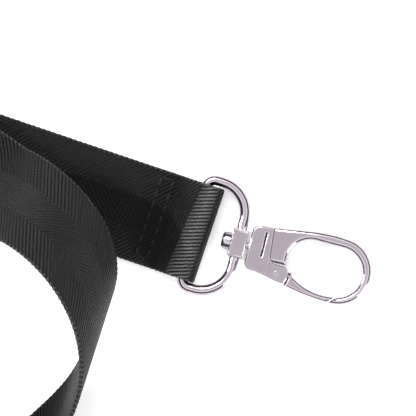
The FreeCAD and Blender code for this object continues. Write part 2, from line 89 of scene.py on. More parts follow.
BOW_WIRE = 2.6
BOW_REACH = 11.7
BOW_HALF_SPAN = 14.2
BOW_NEAR_RADIUS = 8.0
BOW_FAR_RADIUS = 2.4
BOW_SOCKET = 2.0
COLLAR = (3.9, 7.4, 6.0)
COLLAR_CHAMFER = 0.7
COLLAR_BORE_RADIUS = 1.15
RIVET_HEAD = 4.4
RIVET_HEAD_LONG = 2.3
RIVET_SHANK = 2.2
RIVET_SEAT_GAP = 0.05
RIVET_REACH = 6.2
PIN_AT = (11.3, -5.0)
PIN_DIAMETER = 1.6
BLOCK_THICK = 5.6
ARM_THICK = 3.4
GATE_THICK = 3.2
GATE_SLOT = 2.6
EAR_THICK = 1.2
EAR_RADIUS = 1.9
EAR_GAP = 0.05
SPRING_WIRE = 0.36
SPRING_RADIUS = 1.27
SPRING_PITCH = 0.45
SPRING_TURNS = 2.0
SPRING_LEG = 1.7
SPRING_LIFT = 0.2
RING_WIRE = 4.0
RING_HALF_SPAN = 16.0
RING_CORNER = 3.0

# Outlines of the cast hook, x along the swivel axis from the collar's centre: a start
# point, then lines (x, y) and arcs (a point on the way, then the end).
ARM_OUTLINE = [
    (4.0, -5.7), (4.0, 5.7), (17.5, 7.8), (22.0, 8.25, 26.5, 8.15), (35.05, -0.4, 26.0, -8.94),
    (27.9, -6.92), (32.8, -0.7, 26.4, 5.7), (20.0, 5.75), (14.9, 4.0, 13.1, -0.8),
    (13.2, -2.4), (8.9, -2.4), (8.9, -6.4), (5.9, -5.8), (4.0, -5.7),
]
BLOCK_OUTLINE = [
    (2.8, -4.6), (2.8, 4.6), (3.9, 5.7), (8.1, 6.0), (8.8, -0.9), (8.9, -2.4), (8.9, -6.4),
    (5.9, -5.8), (3.9, -5.7), (2.8, -4.6),
]
SLIT_OUTLINE = [(6.35, -1.7), (6.35, 4.4), (6.65, 4.4), (6.65, -1.7), (6.35, -1.7)]
SLIT_FLOOR_OUTLINE = [(6.2, -1.9), (6.2, 4.6), (6.8, 4.6), (6.8, -1.9), (6.2, -1.9)]
CHEEK_OUTLINE = [
    (7.6, -1.2), (8.8, -0.9), (9.5, -2.2, 10.9, -2.8), (13.3, -2.8), (14.3, -5.0, 13.42, -7.12),
    (11.3, -6.95), (7.6, -6.15), (7.6, -1.2),
]
GATE_OUTLINE = [
    (14.35, -3.89), (18.5, -6.35, 27.3, -7.05), (25.6, -8.85), (20.0, -8.5, 13.75, -7.4),
    (14.55, -5.1, 14.35, -3.89),
]
EAR_NECK_OUTLINE = [(11.3, -3.1), (14.7, -4.3), (14.3, -6.9), (11.3, -6.9), (11.3, -3.1)]

# ------------------------------------------------------------------ finer detail of the looks

# Roundings of the castings, and how far a dome or a lap reaches.
ARM_ROUND = 1.0
BLOCK_ROUND = 0.42
SLIT_FLOOR_RISE = 0.3
SLIT_FLOOR_ROUND = 0.02
CHEEK_ROUND = 0.4
CHEEK_LAP = 0.02
GATE_ROUND = 0.75
NECK_ROUND = 0.1
EAR_ROUND = 0.12
EAR_LAP = 0.01
COLLAR_ROUND = 0.22
RIVET_DOME_LONG = 0.9
RIVET_DOME_FLAT = 0.55
RIVET_RIM_CHAMFER = 0.15
PIN_DOME = 0.2
PIN_DOME_FLAT = 0.7
SPRING_STEPS = 24

# The webbing's mesh: lines across it and columns along it.
LINE_SPACING = 0.34
LINE_TURN = 6
COLUMNS = 61
SELVEDGE_ROUND = 0.45
SELVEDGE_ANGLES = (22, 45, 67, 90)

# Loops of the weft along the selvedge.
BEAD_PITCH = 1.4
BEAD_ZONE = 1.3
BEAD_OUT = 0.16
BEAD_SINK = 0.22
BEAD_SHIFT = 1.1

# Stitches: thread radius, how far the middle stands out and how far the ends sink.
THREAD_RADIUS = 0.23
STITCH_RISE = 0.12
STITCH_SINK = 0.28
STITCH_POINTS = 9

# Weave of the webbing, in mm, and the band of painted highlight on the ribs where it is bent
# over a bow.
STRAP_LENGTH = 426.04
BAND_WIDE = 8.3
RIB_PITCH = 1.25
YARN_PITCH = 0.62
YARN_LEAN = 0.6
YARN_DEPTH = 0.3
UNEVEN_DEPTH = 0.7
FOLD_FROM = 21.3
FOLD_TO = 26.6
FOLD_TAPER = 0.1
FOLD_FADE_IN = 0.5
FOLD_FADE_OUT = 0.4
FOLD_RIB_PITCH = 0.95
FOLD_RIB_LEAN = 0.4
FOLD_RIB_SWING = 0.75
FOLD_RIB_LEVEL = 0.25

# Tone of the webbing: the share of the ramp that a plain yarn, the painted highlight of a
# selvedge loop and the painted highlight of a rib over the fold reach.
TONE_PLAIN = 0.4825
TONE_LOOP_GLINT = 0.505
TONE_FOLD_HIGHLIGHT_LOW = 0.48
TONE_FOLD_HIGHLIGHT_RANGE = 0.52
LOOP_GLINT_SWING = 0.025
WEB_BLACK = (0.0045, 0.0045, 0.005)
# Painted highlight: the grey of the selvedge loops, in the base colour.
LOOP_GLINT_GREY = (0.05, 0.05, 0.05)
# Painted highlight: the grey of the brightest ribs over the fold, in the base colour.
FOLD_HIGHLIGHT_GREY = (0.16, 0.16, 0.165)
THREAD_BLACK = (0.006, 0.006, 0.0065)
# Painted shade: the black of a plate that darkens the hook's slit.
SLIT_SHADE_BLACK = (0.02, 0.018, 0.02)

NICKEL_COLOUR = (0.61, 0.555, 0.605)
STEEL_COLOUR = (0.58, 0.54, 0.58)
SPRING_COLOUR = (0.5, 0.49, 0.5)
METAL_EDGE_TINT = (0.12, 0.1, 0.12)
GRAIN_SCALE = 900.0
GRAIN_DETAIL = 4.0
GRAIN_DEPTH = 0.15
WAVE_SCALE = 110.0
WAVE_DETAIL = 1.0
WAVE_HEIGHT = 0.0005


# ------------------------------------------------------------------ materials


def new_material(name, colour, metallic, roughness):
    material = bpy.data.materials.new(name)
    material.use_nodes = True
    shader = material.node_tree.nodes["Principled BSDF"]
    shader.inputs["Base Color"].default_value = (*colour, 1.0)
    shader.inputs["Metallic"].default_value = metallic
    shader.inputs["Roughness"].default_value = roughness
    if metallic:
        shader.inputs["Specular Tint"].default_value = (*METAL_EDGE_TINT, 1.0)
    return material, material.node_tree.nodes, material.node_tree.links, shader


def add_bump(nodes, links, shader, height, strength, distance):
    bump = nodes.new("ShaderNodeBump")
    bump.inputs["Strength"].default_value = strength
    bump.inputs["Distance"].default_value = distance
    links.new(height, bump.inputs["Height"])
    links.new(bump.outputs["Normal"], shader.inputs["Normal"])


def math_node(nodes, links, operation, *values):
    node = nodes.new("ShaderNodeMath")
    node.operation = operation
    for index, value in enumerate(values):
        if isinstance(value, (int, float)):
            node.inputs[index].default_value = value
        else:
            links.new(value, node.inputs[index])
    return node.outputs[0]


def noise_texture(nodes, links, vector, scale, detail):
    noise = nodes.new("ShaderNodeTexNoise")
    noise.inputs["Scale"].default_value = scale
    noise.inputs["Detail"].default_value = detail
    links.new(vector, noise.inputs["Vector"])
    return noise.outputs["Fac"]


def drive_roughness(nodes, links, shader, value, from_range, to_range):
    """The roughness goes from one end of its range to the other as the value does."""
    ramp = nodes.new("ShaderNodeMapRange")
    ramp.inputs["From Min"].default_value, ramp.inputs["From Max"].default_value = from_range
    ramp.inputs["To Min"].default_value, ramp.inputs["To Max"].default_value = to_range
    links.new(value, ramp.inputs["Value"])
    links.new(ramp.outputs["Result"], shader.inputs["Roughness"])


def metal_material(name, colour, roughness, grain):
    """Plated metal: slow waves of a polished casting, fine grain, and an uneven gloss."""
    material, nodes, links, shader = new_material(name, colour, 1.0, roughness)
    place = nodes.new("ShaderNodeTexCoord").outputs["Object"]
    noise = noise_texture(nodes, links, place, GRAIN_SCALE, GRAIN_DETAIL)
    drive_roughness(nodes, links, shader, noise, (0.0, 1.0), (roughness * 0.7, roughness * 1.5))
    wave = noise_texture(nodes, links, place, WAVE_SCALE, WAVE_DETAIL)
    fine = math_node(nodes, links, "MULTIPLY", noise, GRAIN_DEPTH * grain)
    height = math_node(nodes, links, "ADD", wave, fine)
    add_bump(nodes, links, shader, height, 1.0, WAVE_HEIGHT)
    return material


def weave_height(step, along, across):
    """Herringbone ribs in bands along the strap, and the finer yarns that cross them."""
    shifted = step("ADD", across, WEB_WIDTH / 2 + BAND_WIDE)
    bands = step("FRACT", step("DIVIDE", shifted, 2 * BAND_WIDE))
    zigzag = step("ABSOLUTE", step("SUBTRACT", step("MULTIPLY", bands, 2.0), 1.0))
    slant = step("MULTIPLY", zigzag, BAND_WIDE)
    ribs = step("SINE", step("MULTIPLY", step("ADD", along, slant), 2 * math.pi / RIB_PITCH))
    yarn_place = step("SUBTRACT", step("MULTIPLY", along, YARN_LEAN), slant)
    yarns = step("SINE", step("MULTIPLY", yarn_place, 2 * math.pi / YARN_PITCH))
    return step("ADD", ribs, step("MULTIPLY", yarns, YARN_DEPTH))


def selvedge_glint_tone(step, along, across):
    """Painted highlight on the selvedges: rises at both selvedges, a little more on each loop of
    the weft.
    """
    edge = step("MULTIPLY", step("ABSOLUTE", across), 2 / WEB_WIDTH)
    loops = step("SINE", step("MULTIPLY", along, 2 * math.pi / BEAD_PITCH))
    return step("MULTIPLY", step("ADD", edge, step("MULTIPLY", loops, LOOP_GLINT_SWING)), 0.5)


def fold_highlight_tone(step, along, across):
    """Painted highlight: lighter ribs in the base colour where the strap is bent over a bow,
    near each end of the strap.
    """
    from_end = step("MINIMUM", along, step("SUBTRACT", STRAP_LENGTH, along))
    fold_end = step("SUBTRACT", FOLD_TO, step("MULTIPLY", across, FOLD_TAPER))
    rise = step("MULTIPLY", step("SUBTRACT", from_end, FOLD_FROM), FOLD_FADE_IN)
    fall = step("MULTIPLY", step("SUBTRACT", fold_end, from_end), FOLD_FADE_OUT)
    soft_rise = step("SMOOTH_MIN", rise, 1.0, 0.2)
    soft_fall = step("SMOOTH_MIN", fall, 1.0, 0.2)
    highlight_band = step("MAXIMUM", step("MINIMUM", soft_rise, soft_fall), 0.0)
    rib_place = step("ADD", across, step("MULTIPLY", along, FOLD_RIB_LEAN))
    ribs = step("SINE", step("MULTIPLY", rib_place, 2 * math.pi / FOLD_RIB_PITCH))
    level = step("ADD", step("MULTIPLY", ribs, FOLD_RIB_SWING), FOLD_RIB_LEVEL)
    highlit_ribs = step("MAXIMUM", level, 0.0)
    share = step("MULTIPLY", step("MULTIPLY", highlight_band, highlit_ribs), TONE_FOLD_HIGHLIGHT_RANGE)
    return step("ADD", share, TONE_FOLD_HIGHLIGHT_LOW)


def webbing_material():
    """Black polyester webbing. The strap's own coordinates are its UV map, in millimetres."""
    material, nodes, links, shader = new_material("webbing_black", WEB_BLACK, 0.0, 0.5)
    shader.inputs["Specular IOR Level"].default_value = 0.17
    shader.inputs["Sheen Weight"].default_value = 0.03
    shader.inputs["Sheen Roughness"].default_value = 0.35
    shader.inputs["Sheen Tint"].default_value = (0.8, 0.8, 0.83, 1.0)
    uv = nodes.new("ShaderNodeUVMap")
    uv.uv_map = "strap"
    split = nodes.new("ShaderNodeSeparateXYZ")
    links.new(uv.outputs["UV"], split.inputs["Vector"])
    along, across = split.outputs["X"], split.outputs["Y"]

    def step(operation, *values):
        return math_node(nodes, links, operation, *values)

    noise = noise_texture(nodes, links, uv.outputs["UV"], 1.4, 5.0)
    uneven = step("MULTIPLY", noise, UNEVEN_DEPTH)
    height = step("ADD", weave_height(step, along, across), uneven)
    add_bump(nodes, links, shader, height, 0.9, 0.00016)
    drive_roughness(nodes, links, shader, height, (-1.2, 1.8), (0.62, 0.4))
    # The tone ramp paints highlights into the base colour: grey loops along the selvedges and
    # grey ribs over the bends at the bows.
    tone = nodes.new("ShaderNodeValToRGB")
    tone.color_ramp.elements[0].position = TONE_PLAIN
    tone.color_ramp.elements[0].color = (*WEB_BLACK, 1.0)
    tone.color_ramp.elements[1].position = 1.0
    tone.color_ramp.elements[1].color = (*FOLD_HIGHLIGHT_GREY, 1.0)
    tone.color_ramp.elements.new(TONE_LOOP_GLINT).color = (*LOOP_GLINT_GREY, 1.0)
    selvedge = selvedge_glint_tone(step, along, across)
    links.new(step("MAXIMUM", selvedge, fold_highlight_tone(step, along, across)), tone.inputs["Fac"])
    links.new(tone.outputs["Color"], shader.inputs["Base Color"])
    return material


WEBBING = webbing_material()
THREAD, _, _, thread_shader = new_material("thread_black", THREAD_BLACK, 0.0, 0.5)
thread_shader.inputs["Sheen Weight"].default_value = 0.05
thread_shader.inputs["Specular IOR Level"].default_value = 0.25
NICKEL_CAST = metal_material("nickel_cast", NICKEL_COLOUR, 0.13, 0.25)
NICKEL_WIRE = metal_material("nickel_wire", NICKEL_COLOUR, 0.1, 0.12)
STEEL_RIVET = metal_material("steel_rivet", STEEL_COLOUR, 0.2, 0.2)
# Painted shade for the hook's slit.
SLIT_SHADE = new_material("painted_slit_shade", SLIT_SHADE_BLACK, 0.0, 0.7)[0]
SPRING_STEEL = metal_material("spring_steel", SPRING_COLOUR, 0.3, 0.2)


# ------------------------------------------------------------------ mesh helpers


def new_mesh_object(name, points, faces, material):
    """A mesh object in metres from points in millimetres."""
    mesh = bpy.data.meshes.new(name)
    mesh.from_pydata((np.asarray(points, float) * MM).tolist(), [], faces)
    mesh.polygons.foreach_set("use_smooth", [True] * len(mesh.polygons))
    mesh.materials.append(material)
    mesh.update()
    piece = bpy.data.objects.new(name, mesh)
    scene.collection.objects.link(piece)
    return piece


def transformed(points, place):
    matrix = np.array(place)
    return np.asarray(points, float) @ matrix[:3, :3].T + matrix[:3, 3]


def arc_points(start, middle, end, count):
    """Points after the start on the circle through three points in a plane."""
    (ax, ay), (bx, by), (cx, cy) = start, middle, end
    divisor = 2 * (ax * (by - cy) + bx * (cy - ay) + cx * (ay - by))
    sa, sb, sc = ax * ax + ay * ay, bx * bx + by * by, cx * cx + cy * cy
    ux = (sa * (by - cy) + sb * (cy - ay) + sc * (ay - by)) / divisor
    uy = (sa * (cx - bx) + sb * (ax - cx) + sc * (bx - ax)) / divisor
    first = math.atan2(ay - uy, ax - ux)
    through = (math.atan2(by - uy, bx - ux) - first) % (2 * math.pi)
    sweep = (math.atan2(cy - uy, cx - ux) - first) % (2 * math.pi)
    if through > sweep:
        sweep -= 2 * math.pi
    radius = math.hypot(ax - ux, ay - uy)
    angles = [first + sweep * step / count for step in range(1, count + 1)]
    return [(ux + radius * math.cos(a), uy + radius * math.sin(a)) for a in angles]


def outline_points(outline, arc_steps=24):
    points = [outline[0]]
    for step in outline[1:]:
        if len(step) == 2:
            points.append(step)
        else:
            points += arc_points(points[-1], step[:2], step[2:], arc_steps)
    return points[:-1] if math.dist(points[0], points[-1]) < 1e-6 else points


def curve_to_mesh(name, curve, place, material):
    """The curve's surface as a mesh object, moved from its own plane in mm to the frame."""
    source = bpy.data.objects.new(name + "_curve", curve)
    scene.collection.objects.link(source)
    bpy.context.view_layer.update()
    evaluated = source.evaluated_get(bpy.context.evaluated_depsgraph_get())
    mesh = bpy.data.meshes.new_from_object(evaluated)
    bpy.data.objects.remove(source)
    bpy.data.curves.remove(curve)
    mesh.transform(Matrix.Scale(MM, 4) @ place)
    mesh.name = name
    mesh.materials.clear()
    mesh.materials.append(material)
    piece = bpy.data.objects.new(name, mesh)
    scene.collection.objects.link(piece)
    return piece


def rounded_plate(name, outlines, thick, rounding, place, material, lift=0.0):
    """A flat casting with rounded rims: the first outline, with the others as holes."""
    curve = bpy.data.curves.new(name, "CURVE")
    curve.dimensions = "2D"
    curve.fill_mode = "BOTH"
    curve.extrude = thick / 2 - rounding
    curve.bevel_depth = rounding
    curve.bevel_resolution = 5
    curve.offset = -rounding
    for outline in outlines:
        points = outline_points(outline)
        spline = curve.splines.new("POLY")
        spline.points.add(len(points) - 1)
        for point, (x, y) in zip(spline.points, points):
            point.co = (x, y, 0.0, 1.0)
        spline.use_cyclic_u = True
    plate = curve_to_mesh(name, curve, place @ Matrix.Translation((0, 0, lift)), material)
    smooth_by_angle(plate, 35)
    return plate


def smooth_by_angle(piece, degrees):
    mesh = piece.data
    mesh.polygons.foreach_set("use_smooth", [True] * len(mesh.polygons))
    mesh.set_sharp_from_angle(angle=math.radians(degrees))


def rod(name, path, radius, place, material, closed=False, sides=10):
    """A round wire along a path of points in mm."""
    curve = bpy.data.curves.new(name, "CURVE")
    curve.dimensions = "3D"
    curve.bevel_depth = radius
    curve.bevel_resolution = sides
    curve.use_fill_caps = not closed
    spline = curve.splines.new("POLY")
    spline.points.add(len(path) - 1)
    for point, where in zip(spline.points, path):
        point.co = (*where, 1.0)
    spline.use_cyclic_u = closed
    wire = curve_to_mesh(name, curve, place, material)
    smooth_by_angle(wire, 50)
    return wire


def revolve(name, profile, place, material, count=48):
    """A turned piece: a profile of (x, radius) points about the x axis."""
    points, faces = [], []
    for x, radius in profile:
        for step in range(count):
            angle = 2 * math.pi * step / count
            points.append((x, radius * math.cos(angle), radius * math.sin(angle)))
    for ring in range(len(profile) - 1):
        for step in range(count):
            a, b = ring * count + step, ring * count + (step + 1) % count
            faces.append((a, b, b + count, a + count))
    piece = new_mesh_object(name, transformed(points, place), faces, material)
    smooth_by_angle(piece, 30)
    return piece


def join(pieces, name):
    """Several mesh objects as one piece."""
    for piece in bpy.context.selected_objects:
        piece.select_set(False)
    for piece in pieces:
        piece.select_set(True)
    bpy.context.view_layer.objects.active = pieces[0]
    bpy.ops.object.join()
    pieces[0].name = name
    pieces[0].data.name = name
    return pieces[0]


def stand_for(piece, body, material_slot, *nodes):
    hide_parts(*nodes)
    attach(piece, body)


# ------------------------------------------------------------------ how the strap lies


def bend(station, skew, radius, turn):
    """A bend of the strap: the station of its middle, the skew of its rulings from square
    across, its radius, and its turn, positive towards the strap's face."""
    return {
        "station": station, "skew": math.radians(skew),
        "radius": radius, "turn": math.radians(turn),
    }


def half_length(item):
    return item["radius"] * abs(item["turn"]) / 2 / math.cos(item["skew"])


def frame_in_bend(start, item, part):
    skew = item["skew"]
    angle = item["turn"] * part
    radius = math.copysign(item["radius"], item["turn"])
    across = Vector((math.sin(skew), math.cos(skew), 0))
    ahead = Vector((math.cos(skew), -math.sin(skew), 0))
    move = ahead * (radius * math.sin(angle)) + Vector((0, 0, radius * (1 - math.cos(angle))))
    move += across * (radius * angle * math.tan(skew))
    return start @ Matrix.Translation(move) @ Matrix.Rotation(angle, 4, -across)


def ahead_by(place, distance):
    return place @ Matrix.Translation((distance, 0, 0))


def sewn_end_bends():
    """The bends from the tail of a sewn end, round the bow and back over the tail."""
    slope = math.radians(SLOPE_ANGLE)
    level = WEB_THICK + LAYER_GAP
    station = TAIL_LENGTH + WRAP_RADIUS * math.pi / 2
    bends = [bend(station, 0, WRAP_RADIUS, 180)]
    station += WRAP_RADIUS * math.pi / 2 + SLOPE_FLAT + WRAP_RADIUS * slope / 2
    bends.append(bend(station, 0, WRAP_RADIUS, SLOPE_ANGLE))
    drop = 2 * WRAP_RADIUS - level - (WRAP_RADIUS + SLOPE_FOOT) * (1 - math.cos(slope))
    station += (WRAP_RADIUS + SLOPE_FOOT) * slope / 2 + drop / math.sin(slope)
    bends.append(bend(station, 0, SLOPE_FOOT, -SLOPE_ANGLE))
    station += SLOPE_FOOT * slope / 2 + STEP_FLAT
    bends.append(bend(station, 0, STEP_RADIUS, STEP_ANGLE))
    station += level / math.sin(math.radians(STEP_ANGLE))
    bends.append(bend(station, 0, STEP_RADIUS, -STEP_ANGLE))
    return bends


def curl_bends(first_station):
    bends = []
    for index in range(CURL_FOLDS):
        share = index / (CURL_FOLDS - 1)
        arch = share * (1 - share)
        skew = CURL_FIRST_SKEW + (CURL_LAST_SKEW - CURL_FIRST_SKEW) * share
        skew += 4 * CURL_SKEW_BULGE * arch
        station = first_station + CURL_SPAN * (share - CURL_CROWD * arch)
        turn = CURL_FIRST_TURN + (CURL_LAST_TURN - CURL_FIRST_TURN) * share
        bends.append(bend(station, skew, CURL_FOLD_ARC / math.radians(turn), -turn))
    return bends


def landing_bend(station, place):
    """The bend that lays the strap flat on the ground after the curl."""
    turned = place.to_3x3()
    face = turned @ Vector((0, 0, 1))
    along = turned @ Vector((1, 0, 0))
    across = turned @ Vector((0, 1, 0))
    level_line = face.cross(Vector((0, 0, 1))).normalized()
    if level_line.dot(across) < 0:
        level_line = -level_line
    skew = math.atan2(level_line.dot(along), level_line.dot(across))
    downhill = along * math.cos(skew) - across * math.sin(skew)
    turn = math.acos(-face.z)
    start_height = WEB_THICK / 2 + LANDING_RADIUS * (1 - math.cos(turn))
    slide = (place.translation.z - start_height) / -downhill.z
    middle = station + (slide + LANDING_RADIUS * turn / 2) / math.cos(skew)
    return bend(middle, math.degrees(skew), LANDING_RADIUS, -math.degrees(turn))


def follow(start, bends):
    frames = []
    place, station = start, 0.0
    for item in bends:
        place = ahead_by(place, item["station"] - half_length(item) - station)
        frames.append(place)
        place = frame_in_bend(place, item, 1.0)
        station = item["station"] + half_length(item)
    return frames, place, station


def strap_route():
    start = Matrix.Translation((-TAIL_LENGTH / 2, 0, WEB_THICK / 2))
    bends = sewn_end_bends()
    ring_station = bends[-1]["station"] + RUN_TO_RING
    ring_index = len(bends)
    bends.append(bend(ring_station, RING_SKEW, RING_WRAP_RADIUS, -RING_TURN))
    rise_station = ring_station + RISE_RUN
    bends.append(bend(rise_station, RISE_SKEW, RISE_ARC / math.radians(RISE_TURN), RISE_TURN))
    bends += curl_bends(rise_station + CURL_RUN)
    _, place, station = follow(start, bends)
    bends.append(landing_bend(station, place))
    end_bends = sewn_end_bends()
    landed = bends[-1]["station"] + half_length(bends[-1])
    length = landed + RUN_TO_END + end_bends[-1]["station"]
    for item in reversed(end_bends):
        bends.append(dict(item, station=length - item["station"]))
    frames, place, station = follow(start, bends)
    tail_end = ahead_by(place, length - station)
    return {
        "start": start, "bends": bends, "frames": frames, "tail_end": tail_end,
        "ring": (frames[ring_index], bends[ring_index]), "length": length,
    }


def cross_lines(route, spacing):
    """Rulings from tail to tail, no further apart than the spacing: the frame on the
    centreline, the tangent of the ruling's skew, and the station."""
    lines = []
    place, station, lean = route["start"], 0.0, 0.0

    def flat_run(end_station, end_lean):
        gap = end_station - station
        count = max(1, math.ceil((gap + 2.0 * abs(end_lean - lean)) / spacing))
        for step in range(count):
            share = step / count
            lines.append((ahead_by(place, gap * share), lean + (end_lean - lean) * share,
                          station + gap * share))

    for item in route["bends"]:
        half = half_length(item)
        item_lean = math.tan(item["skew"])
        flat_run(item["station"] - half, item_lean)
        begin = ahead_by(place, item["station"] - half - station)
        turn_steps = math.ceil(abs(item["turn"]) / math.radians(LINE_TURN))
        steps = max(1, math.ceil(2 * half / spacing), turn_steps)
        for step in range(steps):
            part = step / steps
            reached = item["station"] - half + 2 * half * part
            lines.append((frame_in_bend(begin, item, part), item_lean, reached))
        place = frame_in_bend(begin, item, 1.0)
        station, lean = item["station"] + half, item_lean
    flat_run(route["length"], 0.0)
    lines.append((route["tail_end"], 0.0, route["length"]))
    return lines


ROUTE = strap_route()


def make_strap():
    """The webbing as one closed sheet with rounded selvedges. The selvedge loops stand out
    as small beads along both edges."""
    half_wide = WEB_WIDTH / 2
    half_thick = WEB_THICK / 2
    flat_half = half_wide - SELVEDGE_ROUND
    inner = np.linspace(-flat_half, flat_half, COLUMNS)
    rim = flat_half + SELVEDGE_ROUND * np.sin(np.radians(SELVEDGE_ANGLES))
    columns = np.concatenate([-rim[::-1], inner, rim])
    past_rim = np.clip((np.abs(columns) - flat_half) / SELVEDGE_ROUND, 0, 1)
    lift = half_thick * np.sqrt(1 - past_rim ** 2)
    ring_v = np.concatenate([columns, columns[-2:0:-1]])
    ring_lift = np.concatenate([lift, -lift[-2:0:-1]])
    near_rim = np.clip((np.abs(ring_v) - (half_wide - BEAD_ZONE)) / BEAD_ZONE, 0, 1)
    lines = cross_lines(ROUTE, LINE_SPACING)
    points, coordinates = [], []
    for place, lean, station in lines:
        along = ring_v * lean
        true_station = station + along
        phase = 2 * np.pi * true_station / BEAD_PITCH + (ring_v > 0) * BEAD_SHIFT
        bead = 0.5 + 0.5 * np.sin(phase)
        v = ring_v + np.sign(ring_v) * BEAD_OUT * bead * near_rim
        height = ring_lift * (1 - near_rim * BEAD_SINK * (1 - bead))
        local = np.stack([along, v, height], axis=1)
        points.append(transformed(local, place))
        coordinates.append(np.stack([true_station, ring_v], axis=1))
    around = len(ring_v)
    faces = []
    for row in range(len(lines) - 1):
        a, b = row * around, (row + 1) * around
        for i in range(around):
            after = (i + 1) % around
            faces.append((a + i, a + after, b + after, b + i))
    last = (len(lines) - 1) * around
    faces.append(tuple(range(around - 1, -1, -1)))
    faces.append(tuple(range(last, last + around)))
    strap = new_mesh_object("webbing", np.concatenate(points), faces, WEBBING)
    mesh = strap.data
    corner_vertex = np.zeros(len(mesh.loops), int)
    mesh.loops.foreach_get("vertex_index", corner_vertex)
    layer = mesh.uv_layers.new(name="strap")
    layer.data.foreach_set("uv", np.concatenate(coordinates)[corner_vertex].ravel())
    return strap


strap = make_strap()
stand_for(strap, "strap", "webbing", "webbing_strap")


# ------------------------------------------------------------------ where the ends are


def end_places():
    """The frames of both sewn ends, laid out as the row's own frame is at the first."""
    tail = ROUTE["tail_end"]
    along = tail.to_3x3() @ Vector((-1, 0, 0))
    side = Vector((0, 0, 1)).cross(along)
    turned = Matrix((along, side, Vector((0, 0, 1)))).transposed().to_4x4()
    base = tail.translation + along * (TAIL_LENGTH / 2) - Vector((0, 0, WEB_THICK / 2))
    return {"a": Matrix.Identity(4), "b": Matrix.Translation(base) @ turned}


def hook_place(end_place):
    yaw = Matrix.Rotation(math.radians(HOOK_YAW), 4, "Z")
    centre = Matrix.Translation((TAIL_LENGTH / 2, 0, WEB_THICK / 2 + WRAP_RADIUS))
    return end_place @ centre @ yaw @ Matrix.Translation((WRAP_TO_COLLAR, 0, 0))


def ring_place():
    start, item = ROUTE["ring"]
    skew = item["skew"]
    bar = frame_in_bend(start, item, 0.5) @ Vector((0, 0, -item["radius"]))
    away = start.to_3x3() @ Vector((math.cos(skew), -math.sin(skew), 0))
    side = Vector((0, 0, 1)).cross(away)
    turned = Matrix((away, side, Vector((0, 0, 1)))).transposed().to_4x4()
    tilt = math.asin((bar.z - RING_WIRE / 2) / (RING_CORNER + RING_HALF_SPAN))
    return Matrix.Translation(bar) @ turned @ Matrix.Rotation(tilt, 4, "Y")


# ------------------------------------------------------------------ the swivel snap hook


def make_bow(end, place):
    """The wire bow: a rounded frame whose two ends stand in the collar's sockets."""
    reach, half = BOW_REACH, BOW_HALF_SPAN
    near, far = BOW_NEAR_RADIUS, BOW_FAR_RADIUS
    near_bulge, far_bulge = near * (1 - math.sqrt(0.5)), far * (1 - math.sqrt(0.5))
    path = outline_points([
        (0, BOW_SOCKET), (0, half - near), (-near_bulge, half - near_bulge, -near, half),
        (far - reach, half), (far_bulge - reach, half - far_bulge, -reach, half - far),
        (-reach, far - half), (far_bulge - reach, far_bulge - half, far - reach, -half),
        (-near, -half), (-near_bulge, near_bulge - half, 0, near - half), (0, -BOW_SOCKET),
    ], 20)
    wire = rod(f"bow_wire_{end}", [(x, y, 0) for x, y in path], BOW_WIRE / 2, place, NICKEL_WIRE)
    stand_for(wire, f"bow_{end}_body", "nickel_wire", f"bow_{end}")


def make_collar(end, place):
    """The square collar, its edges chamfered and a little rounded, open along its bore."""
    long, wide, tall = COLLAR
    chamfer = COLLAR_CHAMFER
    half_wide, half_tall = wide / 2, tall / 2
    outline = [
        (half_wide, half_tall - chamfer), (half_wide - chamfer, half_tall),
        (chamfer - half_wide, half_tall), (-half_wide, half_tall - chamfer),
        (-half_wide, chamfer - half_tall), (chamfer - half_wide, -half_tall),
        (half_wide - chamfer, -half_tall), (half_wide, chamfer - half_tall),
        (half_wide, half_tall - chamfer),
    ]
    r = COLLAR_BORE_RADIUS
    bore = [(r, 0.0), (0.0, r, -r, 0.0), (0.0, -r, r, 0.0)]
    upright = Matrix(((0, 0, 1, 0), (1, 0, 0, 0), (0, 1, 0, 0), (0, 0, 0, 1)))
    turned = place @ upright
    rings = [outline, bore]
    collar = rounded_plate(f"collar_{end}", rings, long, COLLAR_ROUND, turned, NICKEL_CAST)
    stand_for(collar, f"bow_{end}_body", "nickel_cast", f"swivel_collar_{end}")


def make_rivet(end, place):
    """The swivel rivet: a domed head inside the bow and the shank in the hook."""
    seat = -COLLAR[0] / 2 - RIVET_SEAT_GAP
    head = seat - RIVET_HEAD_LONG
    radius = RIVET_HEAD / 2
    shank = RIVET_SHANK / 2
    flat = RIVET_DOME_FLAT
    profile = [(head, 0.0)]
    for angle in np.radians([0, 20, 40, 60, 75, 90]):
        x = head + RIVET_DOME_LONG * (1 - math.cos(angle))
        profile.append((x, radius * (flat + (1 - flat) * math.sin(angle))))
    profile += [(seat - RIVET_RIM_CHAMFER, radius), (seat, radius - RIVET_RIM_CHAMFER)]
    profile += [(seat, shank), (RIVET_REACH, shank), (RIVET_REACH, 0.0)]
    rivet = revolve(f"rivet_{end}", profile, place, STEEL_RIVET)
    stand_for(rivet, f"hook_{end}_body", "steel_rivet", f"swivel_rivet_{end}")


